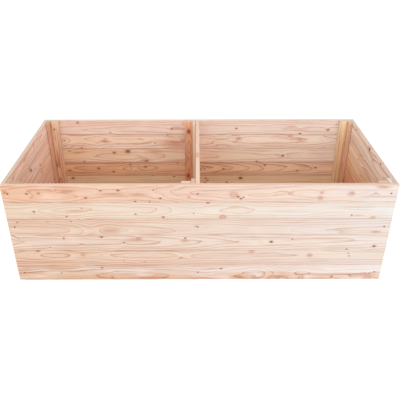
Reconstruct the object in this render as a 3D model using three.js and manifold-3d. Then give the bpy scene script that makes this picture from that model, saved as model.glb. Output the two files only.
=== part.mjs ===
// A free-standing raised garden bed of planed softwood, in millimetres.
//
// X runs along the bed, the front wall faces -Y and Z is up. The origin is on the ground at the
// middle of the bed. Five walls of tongue-and-groove boards stand on the ground: two long ones,
// and between them two ends and a divider. Upright battens carry the boards of each wall, and
// countersunk screws through the long walls pull the five walls together. The bed has no bottom.

import * as THREE from "three";
import { mergeVertices } from "three/addons/utils/BufferGeometryUtils.js";
import Module from "manifold-3d";

// ---- Driving dimensions, in millimetres ----

// The bed.
const bedLength = 1800;
const bedWidth = 800;
const boardRows = 6;
const dividerPlane = 0; // where the plain face of the divider stands, from the middle of the bed

// The boards. A board covers this much height, and its tongue reaches further up.
const boardCoverHeight = 90;
const boardThickness = 19;
const boardBevel = 1.2; // of each long edge; two of them make the fine V of a seam
const tongueLength = 6;
const tongueThickness = 6;
const tongueChamfer = 1;

// The battens.
const battenWidth = 45;
const battenThickness = 20;
const battenEdgeRadius = 2;

// The assembly screws.
const screwLength = 50;
const screwShankRadius = 2;
const screwHeadRadius = 4;
const screwHeadRim = 0.5; // the straight edge above the cone of the head
const screwPointLength = 5;
const screwSink = 0.8; // how far the head's face lies below the face of the wall
const driveRadius = 1.9; // of the six-lobed drive recess
const driveLobe = 0.35; // how far each lobe stands out of it
const driveDepth = 1.6;

// The clearances.
const seamGap = 0.3; // between the shoulders of two boards
const fitGap = 0.3; // between two pieces that are planed to meet
const tongueSideGap = 0.3; // on each side of a tongue in its groove
const tongueEndGap = 1; // above a tongue in its groove
const drillGap = 0.3; // round a screw in its hole

// How finely the round forms are cut.
const screwFacets = 24;
const lobeCount = 6;
const pointsPerLobe = 4;
const battenCornerSteps = 3;
const mergeDistance = 1e-4;
const cutOvershoot = 1; // how far a cutter stands clear of the face that it cuts

// ---- Dimensions that follow ----

const bedHeight = boardRows * boardCoverHeight;
const crossLength = bedWidth - 2 * (boardThickness + fitGap); // of a board in an end or the divider
const battenSeat = boardThickness + fitGap; // a batten's outer face, from its wall's outer face
const crossBattenInner = battenSeat + battenThickness; // its inner face
const screwRows = [0, Math.ceil(boardRows / 2) - 1, boardRows - 1]; // counted from the top

// ---- Materials: the board tones of unfinished larch, and zinc-plated steel ----

const boardTones = [0xecccb4, 0xefdfcb, 0xe6c7a9, 0xe9cdb9, 0xe4c0a2, 0xeacdb0];
const battenTones = { long: 0xcf9a74, cross: 0xdcb48c };
const screwTone = 0x8d867c;

function wood(color) {
  return new THREE.MeshStandardMaterial({ color, roughness: 0.75, metalness: 0 });
}

function steel() {
  return new THREE.MeshStandardMaterial({ color: screwTone, roughness: 0.4, metalness: 1 });
}

// ---- Cutting ----

const wasm = await Module();
wasm.setup();

function toSolid(geometry) {
  const bare = geometry.clone();
  bare.deleteAttribute("normal");
  bare.deleteAttribute("uv");
  const merged = mergeVertices(bare, mergeDistance);
  return new wasm.Manifold(
    new wasm.Mesh({
      numProp: 3,
      vertProperties: merged.attributes.position.array,
      triVerts: new Uint32Array(merged.index.array),
    }),
  );
}

function toGeometry(solid) {
  const mesh = solid.getMesh();
  const geometry = new THREE.BufferGeometry();
  geometry.setAttribute("position", new THREE.BufferAttribute(mesh.vertProperties, 3));
  geometry.setIndex(new THREE.BufferAttribute(mesh.triVerts, 1));
  geometry.computeVertexNormals();
  return geometry;
}

// ---- Boards ----

// A board's section: x runs from its outer face into the bed and y from its lower shoulder up.
// The board on top has a plain upper edge and the others a tongue. All have the groove below,
// which stays open on the lowest board, as it comes from the planer.
function boardSection(isTop) {
  const shoulder = isTop ? boardCoverHeight : boardCoverHeight - seamGap;
  const middle = boardThickness / 2;
  const tongueHalf = tongueThickness / 2;
  const grooveHalf = tongueHalf + tongueSideGap;
  const grooveDepth = tongueLength + tongueEndGap - seamGap;
  const tongueTop = shoulder + tongueLength;

  const section = new THREE.Shape();
  section.moveTo(0, boardBevel);
  section.lineTo(boardBevel, 0);
  section.lineTo(middle - grooveHalf, 0);
  section.lineTo(middle - grooveHalf, grooveDepth);
  section.lineTo(middle + grooveHalf, grooveDepth);
  section.lineTo(middle + grooveHalf, 0);
  section.lineTo(boardThickness - boardBevel, 0);
  section.lineTo(boardThickness, boardBevel);
  section.lineTo(boardThickness, shoulder - boardBevel);
  section.lineTo(boardThickness - boardBevel, shoulder);
  if (!isTop) {
    section.lineTo(middle + tongueHalf, shoulder);
    section.lineTo(middle + tongueHalf, tongueTop - tongueChamfer);
    section.lineTo(middle + tongueHalf - tongueChamfer, tongueTop);
    section.lineTo(middle - tongueHalf + tongueChamfer, tongueTop);
    section.lineTo(middle - tongueHalf, tongueTop - tongueChamfer);
    section.lineTo(middle - tongueHalf, shoulder);
  }
  section.lineTo(boardBevel, shoulder);
  section.lineTo(0, shoulder - boardBevel);
  section.closePath();
  return section;
}

// A board lies along X, centred, with its outer face at y = 0 and its lower shoulder at z = 0.
function boardGeometry(length, isTop) {
  const geometry = new THREE.ExtrudeGeometry(boardSection(isTop), {
    depth: length,
    bevelEnabled: false,
  });
  geometry.translate(0, 0, -length / 2);
  const sectionToWall = new THREE.Matrix4().makeBasis(
    new THREE.Vector3(0, 1, 0),
    new THREE.Vector3(0, 0, 1),
    new THREE.Vector3(1, 0, 0),
  );
  return geometry.applyMatrix4(sectionToWall);
}

// ---- Battens ----

// A batten stands at the origin, its width along X, its back at y = 0 and its front at +Y.
function battenGeometry() {
  const side = battenWidth / 2 - battenEdgeRadius;
  const back = battenEdgeRadius;
  const front = battenThickness - battenEdgeRadius;
  const quarter = Math.PI / 2;

  const section = new THREE.Shape();
  section.absarc(side, back, battenEdgeRadius, -quarter, 0);
  section.absarc(side, front, battenEdgeRadius, 0, quarter);
  section.absarc(-side, front, battenEdgeRadius, quarter, 2 * quarter);
  section.absarc(-side, back, battenEdgeRadius, 2 * quarter, 3 * quarter);
  section.closePath();
  return new THREE.ExtrudeGeometry(section, {
    depth: bedHeight,
    bevelEnabled: false,
    curveSegments: battenCornerSteps,
  });
}

// ---- Assembly screws ----

const headConeLength = screwHeadRadius - screwShankRadius; // a 90 degree countersink
const headConeStart = screwSink + screwHeadRim;
const shankStart = headConeStart + headConeLength;
const screwEnd = screwSink + screwLength;

// A screw is driven along +Y from a wall's outer face, which is at y = 0.
function screwGeometry() {
  const outline = [
    new THREE.Vector2(0, screwEnd),
    new THREE.Vector2(screwShankRadius, screwEnd - screwPointLength),
    new THREE.Vector2(screwShankRadius, shankStart),
    new THREE.Vector2(screwHeadRadius, headConeStart),
    new THREE.Vector2(screwHeadRadius, screwSink),
    new THREE.Vector2(0, screwSink),
  ];
  return new THREE.LatheGeometry(outline.reverse(), screwFacets);
}

// The recess for the driver: six round lobes on a circle, sunk into the face of the head.
function driveGeometry() {
  const lobes = new THREE.Shape();
  const count = lobeCount * pointsPerLobe;
  for (let i = 0; i < count; i++) {
    const angle = (2 * Math.PI * i) / count;
    const radius = driveRadius + driveLobe * Math.cos(lobeCount * angle);
    const x = radius * Math.cos(angle);
    const y = radius * Math.sin(angle);
    if (i === 0) lobes.moveTo(x, y);
    else lobes.lineTo(x, y);
  }
  lobes.closePath();
  const geometry = new THREE.ExtrudeGeometry(lobes, {
    depth: driveDepth + cutOvershoot,
    bevelEnabled: false,
  });
  return geometry.rotateX(Math.PI / 2).translate(0, screwSink + driveDepth, 0);
}

// The hole for a screw: the screw's own outline, wider by the clearance, open at the wall's face.
function holeGeometry() {
  const outline = [
    new THREE.Vector2(0, screwEnd + drillGap),
    new THREE.Vector2(screwShankRadius + drillGap, screwEnd + drillGap),
    new THREE.Vector2(screwShankRadius + drillGap, shankStart),
    new THREE.Vector2(screwHeadRadius + drillGap, headConeStart),
    new THREE.Vector2(screwHeadRadius + drillGap, -cutOvershoot),
    new THREE.Vector2(0, -cutOvershoot),
  ];
  return new THREE.LatheGeometry(outline.reverse(), screwFacets);
}

const screwShape = toGeometry(toSolid(screwGeometry()).subtract(toSolid(driveGeometry())));
const battenShape = battenGeometry();

// ---- Assembly ----

const bed = new THREE.Group();
const woodPieces = [];
const screws = [];

function place(parent, name, geometry, material, x, y, z) {
  const mesh = new THREE.Mesh(geometry, material);
  mesh.name = name;
  mesh.position.set(x, y, z);
  parent.add(mesh);
  return mesh;
}

// A wall in its own frame: X along it, its outer face at y = 0, the bed inside at +Y.
function wall(name, length, x, y, turn) {
  const group = new THREE.Group();
  group.position.set(x, y, 0);
  group.rotation.z = turn;
  bed.add(group);
  for (let row = 0; row < boardRows; row++) {
    const shape = boardGeometry(length, row === 0);
    const tone = boardTones[row % boardTones.length];
    const bottom = bedHeight - (row + 1) * boardCoverHeight;
    woodPieces.push(place(group, `${name}_board_${row + 1}`, shape, wood(tone), 0, 0, bottom));
  }
  return group;
}

function addBatten(parent, name, x, tone) {
  woodPieces.push(place(parent, name, battenShape, wood(tone), x, battenSeat, 0));
}

function addScrews(parent, name, x) {
  screwRows.forEach((row, index) => {
    const z = bedHeight - (row + 0.5) * boardCoverHeight;
    screws.push(place(parent, `${name}_screw_${index + 1}`, screwShape, steel(), x, 0, z));
  });
}

// The long walls reach over the ends of the others. Each has a batten in both corners and one
// beside the divider, and its screws go into the end walls' battens and into the divider.
const cornerBattenX = bedLength / 2 - crossBattenInner - fitGap - battenWidth / 2;
const middleBattenX = dividerPlane - crossBattenInner - fitGap - battenWidth / 2;
const cornerScrewX = bedLength / 2 - battenSeat - battenThickness / 2;
const dividerScrewX = dividerPlane - boardThickness / 2;

for (const [side, y, turn] of [
  ["front", -bedWidth / 2, 0],
  ["back", bedWidth / 2, Math.PI],
]) {
  const group = wall(side, bedLength, 0, y, turn);
  const toLocal = Math.cos(turn); // +1 where the wall's X runs with the bed's, -1 where against
  addBatten(group, `${side}_left_batten`, -cornerBattenX * toLocal, battenTones.long);
  addBatten(group, `${side}_middle_batten`, middleBattenX * toLocal, battenTones.long);
  addBatten(group, `${side}_right_batten`, cornerBattenX * toLocal, battenTones.long);
  addScrews(group, `${side}_left`, -cornerScrewX * toLocal);
  addScrews(group, `${side}_middle`, dividerScrewX * toLocal);
  addScrews(group, `${side}_right`, cornerScrewX * toLocal);
}

// The two ends and the divider stand between the long walls. Each has a batten at both ends of
// its inner side, and the divider has them on the side that faces the left end.
const crossBattenX = crossLength / 2 - battenWidth / 2;

for (const [name, x, turn] of [
  ["left", -bedLength / 2, -Math.PI / 2],
  ["right", bedLength / 2, Math.PI / 2],
  ["divider", dividerPlane, Math.PI / 2],
]) {
  const group = wall(name, crossLength, x, 0, turn);
  const toFront = -Math.sin(turn); // which way along the wall's X the front of the bed lies
  addBatten(group, `${name}_front_batten`, crossBattenX * toFront, battenTones.cross);
  addBatten(group, `${name}_back_batten`, -crossBattenX * toFront, battenTones.cross);
}

// ---- Drilling: every wood piece that a screw passes through or ends in gets its hole ----

bed.updateMatrixWorld(true);
const holeShape = holeGeometry();
const holes = screws.map((screw) => {
  const geometry = holeShape.clone().applyMatrix4(screw.matrixWorld);
  geometry.computeBoundingBox();
  return geometry;
});

for (const piece of woodPieces) {
  const reach = new THREE.Box3().setFromObject(piece);
  const met = holes.filter((hole) => hole.boundingBox.intersectsBox(reach));
  if (met.length === 0) continue;
  const toPiece = piece.matrixWorld.clone().invert();
  let solid = toSolid(piece.geometry);
  for (const hole of met) solid = solid.subtract(toSolid(hole.clone().applyMatrix4(toPiece)));
  piece.geometry = toGeometry(solid);
}

export default bed;
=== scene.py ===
import math
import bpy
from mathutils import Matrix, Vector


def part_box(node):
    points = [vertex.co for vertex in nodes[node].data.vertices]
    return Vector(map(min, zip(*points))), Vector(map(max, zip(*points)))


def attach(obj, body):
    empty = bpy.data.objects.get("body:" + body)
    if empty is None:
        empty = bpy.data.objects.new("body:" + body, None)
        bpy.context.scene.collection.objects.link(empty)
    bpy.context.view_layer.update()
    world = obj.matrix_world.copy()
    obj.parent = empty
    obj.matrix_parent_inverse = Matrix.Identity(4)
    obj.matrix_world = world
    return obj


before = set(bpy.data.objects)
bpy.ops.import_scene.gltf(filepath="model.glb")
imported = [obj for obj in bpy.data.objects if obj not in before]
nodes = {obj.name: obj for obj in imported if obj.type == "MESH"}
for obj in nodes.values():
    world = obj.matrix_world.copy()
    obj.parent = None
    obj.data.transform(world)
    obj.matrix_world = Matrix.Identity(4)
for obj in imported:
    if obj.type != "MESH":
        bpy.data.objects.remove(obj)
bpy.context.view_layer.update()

from types import SimpleNamespace

import bmesh
import bpy
from mathutils import Euler, Matrix


# ---- Camera ----
# The bed is seen from the front at standing height, a little above it, so that the inside of
# the back wall shows above the front wall and both end walls narrow towards the back.

camera_place = (-0.0103, -2.4172, 1.6493)
camera_turn = (59.529, -0.052, -0.285)  # degrees about X, Y and Z
camera_lens = 46.12  # mm

camera = bpy.data.objects.new("camera", bpy.data.cameras.new("camera"))
camera.location = camera_place
camera.rotation_euler = [math.radians(angle) for angle in camera_turn]
camera.data.lens = camera_lens
bpy.context.scene.collection.objects.link(camera)
bpy.context.scene.camera = camera
bpy.context.scene.view_settings.view_transform = "Standard"


# ---- Front wall ----
# Six planed boards of unfinished larch, tongue and groove, as long as the bed and nailed to
# upright battens from inside. Each is cut flat from its own log: its growth rings close into long
# arches along the middle, and run as lines along the edges.


class Value:
    """The output of a material's node. An expression on it adds its Math nodes."""

    def __init__(self, finish, socket):
        self.finish = finish
        self.socket = socket

    def maths(self, operation, *values):
        return self.finish.node("Math", {"operation": operation}, dict(enumerate(values)))

    def __add__(self, other):
        return self.maths("ADD", self, other)

    def __sub__(self, other):
        return self.maths("SUBTRACT", self, other)

    def __rsub__(self, other):
        return self.maths("SUBTRACT", other, self)

    def __mul__(self, other):
        return self.maths("MULTIPLY", self, other)

    def __truediv__(self, other):
        return self.maths("DIVIDE", self, other)

    def __rtruediv__(self, other):
        return self.maths("DIVIDE", other, self)

    def __pow__(self, other):
        return self.maths("POWER", self, other)

    def __abs__(self):
        return self.maths("ABSOLUTE", self)

    __radd__ = __add__
    __rmul__ = __mul__

    def floor(self):
        return self.maths("FLOOR", self)

    def fraction(self):
        return self.maths("FRACT", self)

    def least(self, other):
        return self.maths("MINIMUM", self, other)

    def most(self, other):
        return self.maths("MAXIMUM", self, other)

    def rise(self, low, high):
        """0 below low, 1 above high, and a smooth step between them."""
        span = {"Value": self, "From Min": low, "From Max": high}
        return self.finish.node("MapRange", {"interpolation_type": "SMOOTHSTEP"}, span)

    def fall(self, low, high):
        """1 below low, 0 above high, and a smooth step between them."""
        return 1 - self.rise(low, high)


class Finish:
    """A material or a sky, and the nodes that work out how it looks."""

    def __init__(self, owner, surface="Principled BSDF"):
        owner.use_nodes = True
        self.owner = owner
        self.tree = owner.node_tree
        self.surface = self.tree.nodes[surface]

    def node(self, kind, settings=None, inputs=None, output=0):
        """Adds a node. Its settings come first, then the values or links of its sockets."""
        made = self.tree.nodes.new("ShaderNode" + kind)
        for name, setting in (settings or {}).items():
            if name == "curve":
                line = made.mapping.curves[0].points
                for place, height in setting[1:-1]:
                    line.new(place, height)
                line[0].location = setting[0]
                line[-1].location = setting[-1]
                made.mapping.update()
            else:
                setattr(made, name, setting)
        for name, value in (inputs or {}).items():
            self.put(made.inputs[name], value)
        return Value(self, made.outputs[output])

    def put(self, socket, value):
        if isinstance(value, Value):
            self.tree.links.new(value.socket, socket)
        else:
            socket.default_value = value

    def set(self, **values):
        """Sets sockets of the surface, named with _ for each space."""
        for name, value in values.items():
            self.put(self.surface.inputs[name.replace("_", " ")], value)

    def mix(self, amount, first, second):
        """A colour from first, at an amount of 0, to second, at 1."""
        return self.node("Mix", {"data_type": "RGBA"}, {0: amount, 6: first, 7: second}, 2)

    def parts(self, place):
        """The three parts of a place, or of a colour that stands for one."""
        return [self.node("SeparateXYZ", None, {0: place}, part) for part in range(3)]

    def noise(self, place, size, seed, detail=2.0, output=0):
        """Soft noise whose spots are about this large along the three axes."""
        share = [1 / length for length in size]
        spread = {0: place, 1: share, 2: (seed, seed * 0.7, seed * 1.3)}
        moved = self.node("VectorMath", {"operation": "MULTIPLY_ADD"}, spread)
        return self.node(
            "TexNoise", None, {"Vector": moved, "Scale": 1.0, "Detail": detail}, output
        )

    def cover(self, piece):
        """Makes this the only material of a piece."""
        piece.data.materials.clear()
        piece.data.materials.append(self.owner)


def shade(red, green, blue):
    """A colour as a screen shows it, with parts up to 255, in the linear values of a socket."""
    parts = [part / 255 for part in (red, green, blue)]
    linear = [p / 12.92 if p < 0.04045 else ((p + 0.055) / 1.055) ** 2.4 for p in parts]
    return (*linear, 1.0)


# How a piece lies: the turn, in degrees, that lays its length along the pattern's X and the
# face that shows most towards the pattern's -Y. Its width is then along Z.
lies_along_bed = (0, 0, 0)

millimetres = 1000  # in a metre
tongue_length = 6  # mm, above each board but the top one
bevel = 1.2  # mm, of the long edges of a board
heart_sway = 36  # mm, across the board
ring_sway = 0.5  # of a ring, as are the next two
ring_wave = 0.9
ring_ripple = 0.3
dead_knot_give = 0.5  # how much of a ring bends away from such a knot
live_knot_give = 0.45
ring_years = 3  # what is called a ring here is three years, of which the last ends darkest
ring_dark = 0.76  # of summer's tone, on the line of a ring
year_dark = 0.35  # the most, on the line of a year
year_line = 0.6  # of the width of a ring's line
late_dark = 0.25  # how far the wood darkens before a line
least_slant = 0.005  # squared, because no ring meets the face quite flat
rings_of_curve = 24  # the span of rings that a curve from 0 to 1 stands for
knot_stretch = 0.72  # a branch is cut a little aslant, so its knot is longer than it is high
sapwood_waver = 50  # mm
sapwood_border = 3  # mm, to each side of the line where it starts

# How far some marks reach in from a side, an end, an edge or a seam, in millimetres: where they
# begin to fade, and where they are gone.
outer_face_depth = (1, 3)  # on the outside of the bed, which keeps the plain tone without the inner faces' painted shade
sawn_depth = (0.1, 0.6)  # on the ends
rim_depth = (0.1, 0.5)  # on the planed upper edge
edge_highlight_depth = (0.2, 0.6)  # on the edges of a batten, a painted highlight
rubbed_depth = (0.5, 2.4)  # round the edges that hands and tools meet
dust_and_shade_depth = (bevel * 0.7, bevel * 2.2)  # along the seams: dust and painted shade in the V between boards
joint_shade_depth = (0.8, 4.5)  # where a batten meets its wall, or the next batten, in painted shade

live_knot = shade(216, 148, 116)
live_rim = shade(178, 106, 80)
knot_halo = shade(210, 138, 100)
# Tone of the dust and painted shade in the seams between boards.
seam_dust_and_shade = shade(162, 112, 86)
# Painted shade in the joint where a batten meets its wall or the next batten.
painted_joint_shade = shade(116, 72, 50)
outer_tones = (shade(238, 206, 182), shade(242, 226, 216))  # from the left to the right, paler to the right in painted light as on the front
plain_rim = (228, 198, 177)

# What sets one piece of larch apart from another, and what a plain one has. Tones are as a screen
# shows them, and lengths are in millimetres. Places are from the left end of the face, or from an
# upright piece's foot, and from the edge at the pattern's -Z, which is a board's lower one. Each
# piece has its own left and right too, the tones of the ground at those ends, and its own summer
# and pale, the tones of its rings and of its lighter clouds. These tones hold painted light: the
# front's ground grows paler to the right, painted light from that side, and inside the bed the
# tones are darker and warmer on the lower boards and towards a batten's foot, painted shade and
# warm bounce light.
plain_larch = dict(
    rims=(plain_rim, plain_rim),  # tones of the planed upper edge, at the left and at the right
    sawn=(238, 216, 190),  # tone of the sawn ends and the rubbed edges
    knot=(148, 94, 66),  # tone of the dead knots
    heart=0,  # how far above the middle of the piece the heart of its log lies
    depth=80,  # how far behind its face the heart lies
    ring=6.0,  # from one growth ring to the next
    wild=1.0,  # how much the rings waver
    arches=(),  # along the middle, each the place where a ring closes, and its step
    line=5.0,  # how wide the dark line is that ends a ring
    figure=(0.7, 0.6),  # how strongly the lines show, at the left and at the right
    dead_knots=(),  # dark and loose, each its place and its width
    live_knots=(),  # brown, and grown into the wood
    resin=(),  # darker patches, each its place, its length and its width
    bleached=(),  # paler patches
    sapwood=None,  # from which height up the wood is pale sapwood
    tongue=0,  # the length of the tongue on the upper edge
    seam=0.5,  # how much dust and painted shade lie in the seams
    against=0,  # which side of a batten lies on its wall: 1 at the pattern's Y, -1 at its -Y
    touching=0,  # which edge of a batten meets the next one: 1 at the pattern's Z, -1 at its -Z
    outer=False,  # whether the back of the board is an outside of the bed
)


def ring_curve(arches, length):
    """The points of the curve that counts the rings along the middle of a board. Each arch closes
    one, to the right (a step of 1) or left (-1), or less than one where the arches are slim."""
    level = 0.5
    points = [(0.0, level)]
    for at, (place, step) in enumerate(arches):
        closed = math.ceil(level) - 1 if step < 0 else math.floor(level) + 1
        points.append((place, closed))
        level += step
        if at + 1 < len(arches):
            points.append(((place + arches[at + 1][0]) / 2, level))
    points.append((length, level))
    return [(place / length, 0.5 + height / rings_of_curve) for place, height in points]


class Larch(Finish):
    """The larch of one wooden piece. It is worked out in millimetres from the piece's middle:
    along its grain, through its thickness and across its width."""

    def __init__(self, node, lies, seed, look):
        super().__init__(bpy.data.materials.new("larch_" + node))
        self.look = look
        self.seed = seed
        turn = Euler([math.radians(angle) for angle in lies])
        low, high = (turn.to_matrix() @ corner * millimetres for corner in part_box(node))
        half_sides = [abs(side) / 2 for side in high - low]
        self.half_length, self.half_thickness, self.half_width = half_sides
        laid = {
            "Vector": self.node("TexCoord", output=3),
            "Location": -(low + high) / 2,
            "Rotation": turn,
            "Scale": (millimetres, millimetres, millimetres),
        }
        self.place = self.node("Mapping", None, laid)
        self.along, self.through, self.across = self.parts(self.place)
        self.share = self.along / (2 * self.half_length) + 0.5  # 0 at the left end, 1 at the right
        self.to_end = self.half_length - abs(self.along)
        self.to_face = self.half_thickness - abs(self.through)
        self.to_edge = self.half_width - abs(self.across)
        self.to_top = self.half_width - self.across
        self.wave = self.spots((260, 60, 40), stream=3, detail=1.0)
        self.ripple = self.spots((70, 30, 14), stream=4, detail=1.5)
        self.faded = self.spots((170, 60, 30), stream=5, detail=1.0).rise(0.3, 0.65)
        self.streak = self.spots((300, 14, 9), stream=7)
        self.cloud = self.spots((200, 60, 40), stream=11)
        self.fibre = self.spots((40, 1.2, 1.2), stream=13)

    def spots(self, size, stream, detail=2.0, output=0):
        """Soft noise of the piece's own, with spots of this size in millimetres."""
        return self.noise(self.place, size, self.seed + stream, detail, output)

    def rings(self):
        """The count of growth rings, and how many go to a millimetre of the face. They are circles
        round a heart that lies behind the face and wanders, and the arches shift them."""
        look = self.look
        sway = self.spots((420, 90, 90), stream=0, detail=1.0, output=1)
        sway_across, sway_through, _ = self.parts(sway)
        behind = (look.depth - self.half_thickness - self.through) / look.ring
        beside = (self.across - look.heart + (sway_across - 0.5) * heart_sway) / look.ring
        circle = (behind * behind + beside * beside) ** 0.5
        curve = {"curve": ring_curve(look.arches, 2 * self.half_length)}
        middle_ring = self.node("FloatCurve", curve, {1: self.share})
        rings = circle - look.depth / look.ring + (middle_ring - 0.5) * rings_of_curve
        wavering = (self.wave - 0.5) * ring_wave + (self.ripple - 0.5) * ring_ripple
        rings = rings + (sway_through - 0.5) * ring_sway + wavering * look.wild
        slant = beside / circle
        return rings, (slant * slant + least_slant) ** 0.5 / look.ring

    def from_knots(self, knots):
        """How far the nearest of these knots is, in halves of its width."""
        if not knots:
            return None
        stretched = {0: self.place, 1: (knot_stretch, 0, 1)}
        flat = self.node("VectorMath", {"operation": "MULTIPLY"}, stretched)
        nearest = None
        for from_end, from_edge, width in knots:
            centre = ((from_end - self.half_length) * knot_stretch, 0, from_edge - self.half_width)
            away = self.node("VectorMath", {"operation": "DISTANCE"}, {0: flat, 1: centre}, 1)
            away = away / (width / 2)
            nearest = away if nearest is None else nearest.least(away)
        return nearest

    def in_patches(self, patches):
        """1 inside these patches and 0 outside, with a ragged border."""
        most = None
        for from_end, from_edge, length, width in patches:
            centre = (from_end - self.half_length, 0, from_edge - self.half_width)
            shrink = (2 / length, 0, 2 / width)
            away = self.node("VectorMath", {"operation": "SUBTRACT"}, {0: self.place, 1: centre})
            away = self.node("VectorMath", {"operation": "MULTIPLY"}, {0: away, 1: shrink})
            away = self.node("VectorMath", {"operation": "LENGTH"}, {0: away}, 1)
            inside = (away + self.ripple * 0.8).fall(0.5, 1.6)
            most = inside if most is None else most.most(inside)
        return most

    def lines(self, rings, to_a_millimetre, width):
        """1 on the line that ends each ring. It comes in slowly and stops short, as summer wood
        does, and is as wide at an arch as along an edge."""
        part = rings.fraction()
        before = (1 - part) / to_a_millimetre
        after = part / to_a_millimetre
        return before.fall(width * 0.2, width * 1.6).most(after.fall(0, width * 0.5))

    def summer_wood(self, rings, to_a_millimetre):
        """The line that ends each ring, and the fainter years within it. Lines fade and return
        along the board."""
        width = self.look.line
        years = rings * ring_years
        year = {"W": years.floor() + self.seed}
        strength = self.node("TexWhiteNoise", {"noise_dimensions": "1D"}, year)
        strong = self.lines(rings, to_a_millimetre, width) * ring_dark
        faint = self.lines(years, to_a_millimetre * ring_years, width * year_line) * strength
        late = strong.most(faint * year_dark) * (self.faded * 0.5 + 0.5)
        return late + rings.fraction() ** 3 * late_dark

    def ground(self):
        """The wood between the lines, with its streaks, clouds, patches and planed edges, the
        painted light and shade in its tones, the painted highlight on a batten's edges, and how
        strongly the lines show on it."""
        look = self.look
        summer = shade(*look.summer)
        pale = shade(*look.pale)
        # From the left tone to the right: on the front paler to the right, painted light, and on a
        # batten darker towards its foot, painted shade.
        ground = self.mix(self.share ** 1.3, shade(*look.left), shade(*look.right))
        ground = self.mix(self.streak.rise(0.5, 0.75) * 0.3, ground, summer)
        ground = self.mix(self.cloud.fall(0.3, 0.55) * 0.6, ground, pale)
        figure = self.share * (look.figure[1] - look.figure[0]) + look.figure[0]
        # The outer face of a wall shows the plain tone of the wood; the tones given for each board
        # are its inner face's, with painted shade and warm bounce light.
        if look.outer:
            outer_face = (self.half_thickness - self.through).fall(*outer_face_depth)
            outside = self.mix(self.share, *outer_tones)
            ground = self.mix(outer_face * (self.cloud * 0.4 + 0.5), ground, outside)
            figure = figure * (1 - outer_face * 0.3)
        if look.resin:
            ground = self.mix(self.in_patches(look.resin) * 0.55, ground, summer)
        if look.bleached:
            white = self.in_patches(look.bleached)
            ground = self.mix(white * 0.9, ground, pale)
            figure = figure * (1 - white * 0.5)
        if look.sapwood:
            height = self.across + self.half_width + (self.wave - 0.5) * sapwood_waver
            young = height.rise(look.sapwood - sapwood_border, look.sapwood + sapwood_border)
            ground = self.mix(young * (self.share * self.share * 0.95 + 0.12), ground, pale)
            figure = figure * (1 - young * self.share * 0.8)
        if look.against:
            # A painted highlight along the batten's long edges, stronger towards its top.
            side = self.to_edge.fall(*edge_highlight_depth)
            ground = self.mix(side * (self.share * 0.4 + 0.45), ground, pale)
        else:
            top = self.to_top.fall(*rim_depth)
            rim = self.mix(self.share, *(shade(*tone) for tone in look.rims))
            ground = self.mix(top * 0.9, ground, rim)
            figure = figure * (1 - top * 0.6)
        return ground, figure

    def knotted(self, surface, dead, live):
        """Live knots are brown with a ragged rim of bark. Dead ones are dark, in a red halo."""
        if live:
            ragged = live + (self.ripple - 0.5) * 1.4
            bark = ragged.rise(0.6, 0.95) * ragged.fall(0.95, 1.35) * (self.faded * 0.35 + 0.15)
            surface = self.mix(ragged.fall(0.4, 2.6) * 0.4, surface, live_knot)
            surface = self.mix(bark.most(ragged.fall(0.1, 0.5) * 0.5), surface, live_rim)
        if dead:
            rim = shade(*(part * 0.76 for part in self.look.knot))
            surface = self.mix(dead.fall(0.8, 3.0) * 0.5, surface, knot_halo)
            surface = self.mix(dead.fall(0.75, 1.15) * 0.9, surface, rim)
            surface = self.mix(dead.fall(0.3, 0.8) * 0.8, surface, shade(*self.look.knot))
        return surface

    def worn_and_shaded(self, surface, sawn_end):
        """The sawn ends are pale and rough, dust and painted shade lie in the seams, painted shade
        lies where a batten meets its wall or the next batten, and the edges are rubbed where the
        wood was handled."""
        look = self.look
        sawn = shade(*look.sawn)
        surface = self.mix(sawn_end * 0.85, surface, sawn)
        if look.against:
            # Painted shade along the sides where the batten meets its wall and the next batten.
            to_wall = self.half_thickness - self.through * look.against
            hidden = to_wall.least(self.half_width - self.across * look.touching)
            joint_shade_mask = hidden.fall(*joint_shade_depth) * (self.cloud * 0.8 + 0.1)
            surface = self.mix(joint_shade_mask, surface, painted_joint_shade)
        else:
            to_seam = self.across + self.half_width
            if look.tongue:
                to_seam = to_seam.least(self.to_top - look.tongue)
            # Dust and painted shade along the seams, in the V between the boards.
            dust_and_shade_mask = to_seam.fall(*dust_and_shade_depth) * (self.cloud.rise(0.3, 0.7) * 0.6 + 0.4)
            surface = self.mix(dust_and_shade_mask * look.seam, surface, seam_dust_and_shade)
        nearest = self.to_face.least(self.to_edge)
        to_corner = nearest.most(self.to_face.most(self.to_edge).least(self.to_end))
        rubbed = to_corner.fall(*rubbed_depth) * (0.05 + self.cloud * 0.3)
        return self.mix(rubbed, surface, sawn)


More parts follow.
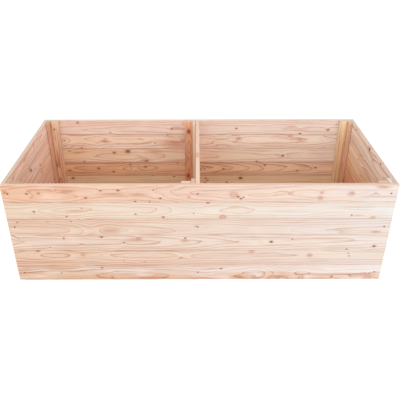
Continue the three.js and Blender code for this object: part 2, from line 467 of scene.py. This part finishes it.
def finish_piece(node, lies, seed, **settings):
    """Gives a wooden node its own larch, plain but for these settings."""
    wood = Larch(node, lies, seed, SimpleNamespace(**{**plain_larch, **settings}))
    summer = shade(*wood.look.summer)
    dead = wood.from_knots(wood.look.dead_knots)
    live = wood.from_knots(wood.look.live_knots)
    rings, to_a_millimetre = wood.rings()
    if dead:
        rings = rings + dead_knot_give / (1 + dead * dead * 0.2)
    if live:
        rings = rings + live_knot_give / (1 + live * live * 0.3)
    late = wood.summer_wood(rings, to_a_millimetre)
    ground, figure = wood.ground()
    surface = wood.mix(late * figure, ground, summer)
    surface = wood.mix(wood.fibre.rise(0.35, 0.8) * 0.1, surface, summer)
    surface = wood.knotted(surface, dead, live)
    sawn_end = wood.to_end.fall(*sawn_depth)
    surface = wood.worn_and_shaded(surface, sawn_end)
    relief = late * 0.5 + wood.fibre * 0.5
    if dead:
        relief = relief + dead.fall(0.9, 1.3) * 0.5
    wood.set(
        Base_Color=surface,
        Roughness=0.7 - late * 0.12 + wood.fibre * 0.12 + sawn_end * 0.1,
        Specular_IOR_Level=0.25,
        Normal=wood.node("Bump", None, {"Strength": 0.3, "Distance": 0.0004, "Height": relief}),
    )
    wood.cover(nodes[node])


def finish_wall(wall, lies, boards, first_seed, seed_step, **shared):
    """Gives each board of a wall its larch. A board's own settings go before the shared ones. The
    first is the top board, which has no tongue."""
    for row, look in enumerate(boards):
        seed = first_seed + row * seed_step
        tongue = tongue_length if row > 0 else 0
        look = {**shared, "tongue": tongue, **look}
        finish_piece(f"{wall}_board_{row + 1}", lies, seed, **look)


front_boards = [
    dict(
        left=(240, 197, 168), right=(244, 234, 228), summer=(192, 120, 84), pale=(248, 224, 204),
        rims=((230, 200, 177), (217, 185, 166)), heart=3, wild=1.4, figure=(0.62, 0.36),
        seam=0.24, arches=[(88, -1), (336, 1), (665, -1), (751, -1), (842, -1), (1118, -1)],
        dead_knots=[
            (115, 46, 7), (250, 66, 4), (380, 24, 7), (450, 62, 6), (530, 64, 8), (605, 5, 6),
            (670, 2, 6), (690, 65, 5), (720, 21, 7), (1075, 30, 7), (1088, 19, 7), (1099, 27, 5),
        ],
        live_knots=[
            (20, 51, 12), (170, 48, 9), (850, 28, 8), (1055, 40, 22), (1309, 46, 12),
            (1454, 48, 9), (1589, 45, 16), (1700, 44, 8),
        ],
        resin=[
            (296, 58, 100, 28), (498, 44, 170, 20), (620, 42, 120, 16), (1450, 22, 40, 30),
            (1730, 78, 90, 22),
        ],
    ),
    dict(
        left=(236, 215, 194), right=(243, 240, 237), summer=(212, 148, 100), pale=(243, 232, 217),
        depth=64, ring=5.2, line=3.4, figure=(0.66, 0.4), seam=0.26,
        arches=[(155, -1), (231, -1), (414, 1), (712, 1), (781, 1), (945, -1), (1183, 1)],
        dead_knots=[
            (133, 41, 7), (356, 60, 4), (281, 15, 5), (602, 27, 5), (730, 10, 7), (872, 31, 4),
            (937, 90, 10), (1607, 19, 5),
        ],
        live_knots=[(1006, 10, 18), (1708, 5, 14)], resin=[(325, 45, 110, 20), (1640, 18, 80, 8)],
    ),
    dict(
        left=(232, 203, 181), right=(239, 231, 227), summer=(200, 136, 100), pale=(242, 226, 210),
        heart=-20, depth=90, figure=(0.72, 0.42), seam=0.36,
        arches=[(300, 1), (355, 1), (417, -1), (523, 1)],
        dead_knots=[(45, 72, 5), (881, 48, 4), (298, 77, 4)], live_knots=[(188, 74, 7)],
        resin=[(470, 26, 110, 30), (1735, 16, 60, 20)],
    ),
    dict(
        left=(234, 211, 194), right=(242, 232, 224), summer=(196, 130, 94), pale=(244, 230, 214),
        heart=4, figure=(0.8, 0.5), arches=[(40, 1), (705, 1), (901, 1), (1053, 1), (1669, 1)],
        dead_knots=[
            (179, 18, 4), (251, 71, 6), (332, 35, 5), (432, 79, 8), (536, 45, 6), (830, 70, 6),
            (1243, 49, 10), (1343, 63, 4), (1612, 4, 6), (1742, 22, 10),
        ],
        live_knots=[(607, 67, 14), (36, 74, 8)], resin=[(590, 62, 130, 24), (829, 55, 60, 20)],
    ),
    dict(
        left=(233, 203, 179), right=(238, 228, 221), summer=(196, 128, 92), pale=(242, 226, 210),
        heart=12, figure=(0.9, 0.48),
        arches=[(72, -0.8), (270, 0.8), (484, -0.8), (786, 0.8), (860, -1), (1301, 1)],
        dead_knots=[(117, 88, 8), (527, 28, 4), (628, 19, 4), (1624, 69, 4), (1630, 54, 4)],
        live_knots=[(331, 62, 14), (808, 44, 9), (1152, 79, 16), (1437, 57, 13)],
        resin=[(650, 84, 500, 10), (180, 20, 300, 12)],
    ),
    dict(
        left=(224, 188, 160), right=(238, 210, 194), summer=(186, 116, 78), pale=(245, 238, 233),
        heart=-22, wild=1.5, line=4.2, figure=(0.9, 0.75), sapwood=42,
        arches=[
            (302, -1), (781, 1), (1106, -1), (1230, 1), (1271, 1), (1352, -1), (1462, 1),
            (1662, -1),
        ],
        dead_knots=[
            (213, 42, 4), (417, 74, 7), (463, 15, 4), (1005, 68, 7), (1560, 18, 6), (1745, 36, 5),
        ],
        live_knots=[(1169, 20, 16), (1406, 12, 22), (1740, 10, 24)],
        resin=[(640, 12, 260, 20), (1090, 14, 90, 24), (1290, 18, 110, 24), (1600, 30, 320, 16)],
        bleached=[(1180, 26, 90, 40), (1420, 16, 130, 30)],
    ),
]

finish_wall(
    "front", lies_along_bed, front_boards, first_seed=3.7, seed_step=3.7, line=3.8, seam=0.28
)


# ---- Back wall ----
# The same six boards as in front. Its inner face is the one that shows, down to the fifth board,
# and its tones are redder than the front's and warmer lower down: painted warm bounce light and
# shade of the bed's inside. The fifth board is olive heartwood with small black knots.

back_boards = [
    dict(
        left=(242, 214, 196), right=(246, 232, 222), summer=(204, 140, 108), pale=(250, 234, 220),
        rims=((222, 227, 226), (205, 202, 197)), heart=-14, figure=(0.6, 0.51),
        arches=[(250, -1), (934, 1), (1490, -1)],
        dead_knots=[
            (193, 76, 8), (378, 12, 6), (739, 38, 8), (1118, 38, 7), (1493, 6, 8), (1656, 30, 9),
            (1700, 63, 4),
        ],
        resin=[(1442, 50, 90, 14), (765, 42, 90, 34)],
    ),
    dict(
        left=(253, 220, 192), right=(255, 240, 226), summer=(202, 132, 96), pale=(255, 240, 224),
        heart=6, wild=2.4, figure=(0.78, 0.72), seam=0.6,
        arches=[
            (78, -1), (128, 1), (261, -1), (337, 1), (970, 1), (1094, -1), (1603, 1), (1697, 1),
        ],
        dead_knots=[(101, 54, 6), (198, 4, 7), (714, 87, 5), (638, 36, 5)],
        live_knots=[(341, 49, 14), (806, 57, 14), (1134, 66, 16), (1438, 80, 18)],
        resin=[(750, 38, 200, 60), (345, 45, 90, 26)], bleached=[(440, 10, 500, 24)],
    ),
    dict(
        left=(252, 213, 175), right=(255, 240, 224), summer=(198, 132, 96), pale=(255, 236, 216),
        knot=(176, 116, 82), heart=-4, wild=1.4, line=6.0, figure=(0.6, 0.52), seam=0.6,
        arches=[(280, -1), (616, 1), (718, 1), (947, 1)],
        dead_knots=[
            (123, 74, 6), (205, 3, 8), (390, 63, 11), (472, 72, 19), (582, 9, 10), (1249, 4, 8),
            (1403, 42, 12),
        ],
        live_knots=[(571, 11, 34), (1716, 1, 8)], resin=[(170, 66, 110, 26), (640, 70, 160, 20)],
        bleached=[(1535, 58, 110, 44)],
    ),
    dict(
        left=(246, 192, 148), right=(255, 220, 190), summer=(168, 90, 50), pale=(242, 202, 168),
        heart=2, line=7.5, figure=(0.66, 0.6),
        arches=[
            (93, -1), (440, -1), (490, 1), (528, -1), (636, 1), (978, 1), (1119, 1), (1211, 1),
            (1313, 1), (1435, 1), (1646, 1),
        ],
        dead_knots=[
            (108, 34, 9), (286, 48, 9), (376, 25, 9), (481, 73, 8), (573, 59, 10), (768, 79, 5),
            (932, 45, 7), (1049, 43, 8), (1299, 68, 8), (1500, 29, 8), (1611, 51, 9),
        ],
    ),
    dict(
        left=(246, 208, 170), right=(255, 222, 184), summer=(186, 134, 88), pale=(248, 220, 182),
        heart=-30, figure=(0.5, 0.5),
        dead_knots=[
            (68, 60, 8), (122, 71, 12), (614, 89, 5), (746, 81, 7), (940, 70, 7), (951, 54, 8),
            (936, 38, 7), (1070, 40, 8), (1155, 70, 15),
        ],
    ),
    dict(
        left=(238, 196, 164), right=(240, 202, 172), summer=(184, 124, 86), pale=(242, 208, 180),
        heart=10, line=5.0, seam=0.5, arches=[(420, 1), (900, -1), (1300, 1)],
        dead_knots=[(260, 30, 8), (880, 62, 7), (1420, 28, 9)],
    ),
]

finish_wall(
    "back", lies_along_bed, back_boards, first_seed=25.1, seed_step=5.1,
    outer=True, line=5.5, seam=0.9,
)


# ---- Left end ----
# Six short boards of the same larch, cut between the long walls and screwed through them into
# the corner battens. Its inner face shows: pinkish, with olive streaks and a double knot.

lies_along_left_end = (0, 0, -90)
left_boards = [
    dict(
        left=(254, 212, 188), right=(254, 224, 204), summer=(192, 138, 106), pale=(252, 230, 216),
        rims=((208, 190, 178), (209, 190, 178)), heart=10, arches=[(90, 1), (330, -1), (560, 1)],
        live_knots=[(461, 67, 12)], resin=[(320, 72, 420, 12), (90, 62, 200, 12)],
    ),
    dict(
        left=(255, 210, 188), right=(255, 220, 196), summer=(194, 132, 102), pale=(254, 226, 212),
        heart=-8, arches=[(240, 1), (430, 1)],
        dead_knots=[(346, 70, 13), (362, 58, 11), (511, 17, 9)], resin=[(250, 30, 260, 14)],
    ),
    dict(
        left=(252, 206, 180), right=(255, 214, 184), summer=(190, 126, 94), pale=(250, 218, 196),
        heart=16, arches=[(200, -1), (600, 1)], dead_knots=[(520, 60, 9)],
        live_knots=[(430, 30, 16)],
    ),
    dict(
        left=(242, 198, 174), right=(250, 210, 182), summer=(188, 122, 88), pale=(248, 212, 190),
        heart=-14, arches=[(360, 1), (640, -1)], resin=[(560, 40, 300, 16)],
    ),
    dict(
        left=(238, 192, 166), right=(244, 200, 170), summer=(180, 112, 78), pale=(244, 206, 180),
        heart=30, arches=[(300, 1)], resin=[(500, 60, 400, 20)],
    ),
    dict(
        left=(236, 188, 160), right=(238, 190, 158), summer=(168, 98, 62), pale=(240, 200, 172),
        heart=4, line=5.0, figure=(0.7, 0.6), seam=0.5, arches=[(150, -1), (520, 1)],
        dead_knots=[(210, 38, 8)],
    ),
]

finish_wall(
    "left", lies_along_left_end, left_boards, first_seed=62.3, seed_step=2.3,
    outer=True, line=6.0, figure=(0.65, 0.55), seam=0.6,
)


# ---- Right end ----
# Six boards like the left end's, with stripes from a log sawn nearer its heart. Three dark knots
# break the inner edge of the top board.

lies_along_right_end = (0, 0, 90)
right_boards = [
    dict(
        left=(252, 230, 212), right=(252, 222, 206), summer=(194, 136, 104), pale=(252, 234, 220),
        rims=((206, 189, 177), (202, 182, 170)), heart=6, arches=[(420, -1), (610, -1)],
        dead_knots=[(128, 83, 8), (380, 80, 15), (561, 84, 8)], resin=[(430, 60, 160, 24)],
    ),
    dict(
        left=(252, 224, 196), right=(244, 198, 168), summer=(190, 126, 92), pale=(252, 224, 200),
        heart=-6, arches=[(240, -1), (330, -1), (650, -1)], resin=[(420, 40, 240, 24)],
    ),
    dict(
        left=(250, 206, 164), right=(236, 175, 138), summer=(184, 114, 76), pale=(248, 212, 180),
        heart=22, arches=[(300, -1), (560, -1)], resin=[(300, 20, 300, 14)],
    ),
    dict(
        left=(242, 186, 141), right=(227, 162, 126), summer=(172, 92, 54), pale=(246, 200, 166),
        heart=44, ring=8, figure=(0.9, 0.77), arches=[(500, 1)],
        resin=[(300, 64, 420, 10), (360, 30, 460, 10)],
    ),
    dict(
        left=(236, 180, 140), right=(224, 165, 132), summer=(166, 86, 48), pale=(240, 192, 158),
        heart=-50, ring=8, figure=(0.9, 0.77), resin=[(260, 56, 380, 12), (340, 22, 420, 10)],
    ),
    dict(
        left=(242, 190, 156), right=(234, 180, 152), summer=(166, 90, 56), pale=(238, 192, 162),
        heart=8, line=5.0, figure=(0.7, 0.6), seam=0.5, arches=[(260, -1), (500, 1)],
        dead_knots=[(560, 30, 8)],
    ),
]

finish_wall(
    "right", lies_along_right_end, right_boards, first_seed=82.9, seed_step=2.9,
    outer=True, line=6.0, figure=(0.8, 0.68), seam=0.6,
)


# ---- Divider ----
# Six boards across the middle, which keep the long walls from bowing out under wet soil. They
# are screwed through both long walls, and the top board is paler in front of its knot.

divider_boards = [
    dict(
        left=(244, 214, 192), right=(240, 206, 188), summer=(196, 130, 96), pale=(246, 222, 204),
        rims=((234, 208, 189), (226, 199, 182)), arches=[(300, 1), (560, -1)],
        live_knots=[(296, 86, 30)],
    ),
    dict(
        left=(242, 206, 180), right=(244, 208, 184), summer=(190, 122, 88), pale=(246, 220, 200),
        heart=-10, arches=[(180, -1), (520, 1)], dead_knots=[(430, 30, 8)],
    ),
    dict(
        left=(238, 200, 172), right=(240, 204, 176), summer=(186, 118, 82), pale=(244, 214, 190),
        heart=18, arches=[(380, 1)], live_knots=[(220, 52, 14)],
    ),
    dict(
        left=(240, 202, 176), right=(238, 198, 170), summer=(184, 116, 80), pale=(244, 212, 188),
        heart=-4, arches=[(260, -1), (470, -1), (640, 1)],
    ),
    dict(
        left=(236, 196, 168), right=(238, 198, 168), summer=(180, 112, 76), pale=(242, 206, 180),
        heart=26, arches=[(420, 1)], dead_knots=[(300, 64, 9)],
    ),
    dict(
        left=(234, 192, 162), right=(236, 192, 160), summer=(178, 108, 72), pale=(240, 202, 174),
        heart=2, arches=[(200, 1), (590, -1)], dead_knots=[(150, 24, 7)],
    ),
]

finish_wall("divider", lies_along_left_end, divider_boards, first_seed=103.1, seed_step=3.1)


# ---- Battens on the long walls ----
# Planed larch battens that stand flat on the walls, two at the corners and one beside the
# divider. Each holds its wall's boards together, and stops level with their top edge.

lies_upright = (0, 90, 0)
long_wall_battens = {
    "front_left_batten": dict(
        left=(236, 186, 152), right=(240, 204, 172), summer=(190, 120, 82), pale=(244, 212, 182),
        sawn=(188, 152, 132), heart=6, against=-1, touching=1, arches=[(200, 1)],
    ),
    "front_middle_batten": dict(
        left=(236, 188, 156), right=(244, 210, 180), summer=(192, 124, 86), pale=(246, 216, 188),
        sawn=(231, 204, 183), heart=-8, against=-1, touching=-1, arches=[(320, -1)],
    ),
    "front_right_batten": dict(
        left=(232, 180, 146), right=(238, 196, 166), summer=(186, 114, 78), pale=(240, 204, 174),
        sawn=(218, 184, 164), against=-1, touching=-1, arches=[(260, 1)],
        dead_knots=[(140, 20, 8)],
    ),
    "back_left_batten": dict(
        left=(236, 176, 136), right=(255, 221, 188), summer=(176, 98, 62), pale=(255, 232, 206),
        sawn=(206, 182, 160), heart=14, depth=34, figure=(0.8, 0.68), against=1, touching=1,
        arches=[(180, 1), (380, -1)], dead_knots=[(492, 26, 8)], live_knots=[(262, 34, 16)],
        resin=[(300, 30, 160, 20)],
    ),
    "back_middle_batten": dict(
        left=(214, 140, 92), right=(246, 199, 163), summer=(160, 82, 46), pale=(246, 190, 152),
        sawn=(210, 186, 166), knot=(178, 104, 64), heart=-2, depth=34, ring=5, figure=(0.5, 0.5),
        against=1, touching=-1, arches=[(260, 1), (340, -1), (420, 1)],
        dead_knots=[(478, 21, 20), (189, 27, 21)], live_knots=[(300, 30, 14)],
        bleached=[(520, 22, 70, 60)],
    ),
    "back_right_batten": dict(
        left=(240, 200, 154), right=(254, 232, 194), summer=(196, 128, 82), pale=(254, 230, 188),
        sawn=(208, 192, 170), heart=-18, figure=(0.8, 0.68), against=1, touching=-1,
        resin=[(270, 8, 700, 12)],
    ),
}


def finish_battens(battens, lies, first_seed, seed_step):
    """Gives each of these battens its larch."""
    for at, (name, look) in enumerate(battens.items()):
        finish_piece(name, lies, first_seed + at * seed_step, **look)


finish_battens(long_wall_battens, lies_upright, first_seed=120, seed_step=2.7)


# ---- Battens on the ends and the divider ----
# The same battens, standing beside the ones on the long walls. The screws at the corners go into
# the edges of those on the ends, which joins the walls. Each holds its own wall's boards together.

lies_upright_across = (90, 0, 90)
cross_battens = {
    "left_front_batten": dict(
        left=(232, 180, 148), right=(240, 200, 172), summer=(186, 114, 78), pale=(242, 206, 178),
        sawn=(198, 158, 136), against=-1, arches=[(240, 1)],
    ),
    "left_back_batten": dict(
        left=(222, 162, 126), right=(240, 192, 162), summer=(180, 104, 68), pale=(242, 198, 168),
        sawn=(196, 168, 148), heart=8, figure=(0.8, 0.68), against=-1, arches=[(300, -1)],
    ),
    "divider_front_batten": dict(
        left=(238, 194, 164), right=(242, 208, 182), summer=(192, 124, 88), pale=(246, 214, 190),
        sawn=(208, 175, 151), against=1, arches=[(350, 1)],
    ),
    "divider_back_batten": dict(
        left=(234, 182, 130), right=(255, 234, 206), summer=(214, 152, 112), pale=(255, 234, 204),
        sawn=(212, 188, 164), heart=-6, figure=(0.5, 0.42), against=1,
    ),
    "right_front_batten": dict(
        left=(238, 206, 176), right=(244, 226, 202), summer=(198, 142, 104), pale=(248, 230, 206),
        sawn=(214, 206, 194), against=1, arches=[(280, -1)],
    ),
    "right_back_batten": dict(
        left=(232, 166, 122), right=(251, 213, 178), summer=(176, 94, 60), pale=(246, 210, 180),
        sawn=(206, 186, 170), heart=14, figure=(0.8, 0.68), against=1, arches=[(200, 1)],
    ),
}

finish_battens(cross_battens, lies_upright_across, first_seed=140, seed_step=3.3)


# ---- Brads ----
# Steel brads driven from inside through each batten, two into each board, which hold the boards
# of a wall together. Their flat heads stand a hair above the wood.

brad_head = 0.0011  # radius
brad_head_height = 0.0006
brad_head_rim = 0.00015
brad_proud = 0.0002
brad_spread = 0.022  # above and below the middle of a board
brad_offset = 0.006  # to the left and right of their line
brad_line = 0.010  # on an end or the divider, the line keeps clear of the long wall's batten
brad_facets = 12

brad_steel = Finish(bpy.data.materials.new("brad_steel"))
brad_place = brad_steel.node("TexCoord", output=3)
brad_grain = brad_steel.noise(brad_place, (0.0008, 0.0008, 0.0008), 2.0)
brad_steel.set(
    Base_Color=brad_steel.mix(brad_grain, shade(150, 146, 140), shade(190, 186, 178)),
    Metallic=1.0,
    Roughness=0.35 + brad_grain * 0.25,
)

for batten, look in {**long_wall_battens, **cross_battens}.items():
    low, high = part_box(batten)
    board_height = (high.z - low.z) / len(front_boards)
    line = (low + high) / 2
    if batten in long_wall_battens:
        driven, beside = 1, 0  # the axes of the brads, and of their offset
        turn = Matrix.Rotation(math.radians(90), 4, "X")
    else:
        driven, beside = 0, 1
        turn = Matrix.Rotation(math.radians(90), 4, "Y")
        line.y -= math.copysign(brad_line, line.y)
    free_side = -look["against"]
    line[driven] = high[driven] if free_side > 0 else low[driven]
    line[driven] += free_side * (brad_proud - brad_head_height / 2)
    heads = bmesh.new()
    for row in range(len(front_boards)):
        for side in (-1, 1):
            spot = line.copy()
            spot[beside] += side * brad_offset
            spot.z = low.z + (row + 0.5) * board_height + side * brad_spread
            bmesh.ops.create_cone(
                heads, cap_ends=True, segments=brad_facets, radius1=brad_head, radius2=brad_head,
                depth=brad_head_height, matrix=Matrix.Translation(spot) @ turn,
            )
    rims = [edge for edge in heads.edges if any(len(face.verts) > 4 for face in edge.link_faces)]
    bmesh.ops.bevel(
        heads, geom=rims, offset=brad_head_rim, affect="EDGES", segments=1, profile=0.5, material=-1
    )
    brads = bpy.data.objects.new(batten + "_brads", bpy.data.meshes.new(batten + "_brads"))
    heads.to_mesh(brads.data)
    heads.free()
    brad_steel.cover(brads)
    bpy.context.scene.collection.objects.link(brads)
    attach(brads, "root")


# ---- Screws ----
# Countersunk wood screws in the long walls, at the ends and the divider, in the first, third and
# sixth boards. They are steel, coloured dark brown.

screw_steel = Finish(bpy.data.materials.new("dark_brown_steel"))
screw_place = screw_steel.node("TexCoord", output=3)
screw_grain = screw_steel.noise(screw_place, (0.0015, 0.0015, 0.0015), 1.0)
screw_steel.set(
    Base_Color=screw_steel.mix(screw_grain, shade(112, 84, 66), shade(150, 118, 96)),
    Metallic=1.0,
    Roughness=0.42 + screw_grain * 0.2,
)
for name, node in nodes.items():
    if "screw" in name:
        screw_steel.cover(node)


# ---- Floor and light ----
# A white studio floor under an even sky, with a large soft lamp low on each side in front, and
# one overhead. The floor looks white, but throws back only as much light as a plain one.

floor_size = 60
floor_seen = (0.95, 0.95, 0.95, 1)
floor_lit = (0.5, 0.5, 0.5, 1)
floor_glow = (0.2, 0.2, 0.2, 1)
no_glow = (0, 0, 0, 1)
sky_strength = 0.73
lamps = {  # strength, and in degrees the width, the height and the turn to the right
    "right_lamp": (0.93, 50, 24, 42),
    "left_lamp": (0.78, 50, 24, -42),
    "top_lamp": (0.52, 60, 80, 0),
}

# In view is what the camera sees, straight or as a reflection.
floor_finish = Finish(bpy.data.materials.new("studio_floor"))
floor_in_view = floor_finish.node("LightPath").most(floor_finish.node("LightPath", output=3))
floor_finish.set(
    Base_Color=floor_finish.mix(floor_in_view, floor_lit, floor_seen),
    Roughness=0.9,
    Specular_IOR_Level=0.0,
    Emission_Color=floor_finish.mix(floor_in_view, no_glow, floor_glow),
    Emission_Strength=1.0,
)
floor_mesh = bmesh.new()
bmesh.ops.create_grid(floor_mesh, x_segments=1, y_segments=1, size=floor_size / 2)
floor = bpy.data.objects.new("studio_floor", bpy.data.meshes.new("studio_floor"))
floor_mesh.to_mesh(floor.data)
floor_mesh.free()
floor_finish.cover(floor)
bpy.context.scene.collection.objects.link(floor)

sky = Finish(bpy.data.worlds.new("studio_sky"), "Background")
sky_in_view = sky.node("LightPath").most(sky.node("LightPath", output=3))
sky.set(Color=(1, 1, 1, 1), Strength=sky_in_view * (1 - sky_strength) + sky_strength)
bpy.context.scene.world = sky.owner

for name, (strength, width, height, turned) in lamps.items():
    lamp = bpy.data.objects.new(name, bpy.data.lights.new(name, "SUN"))
    lamp.data.energy = strength
    lamp.data.angle = math.radians(width)
    lamp.rotation_euler = (math.radians(90 - height), 0, math.radians(turned))
    bpy.context.scene.collection.objects.link(lamp)
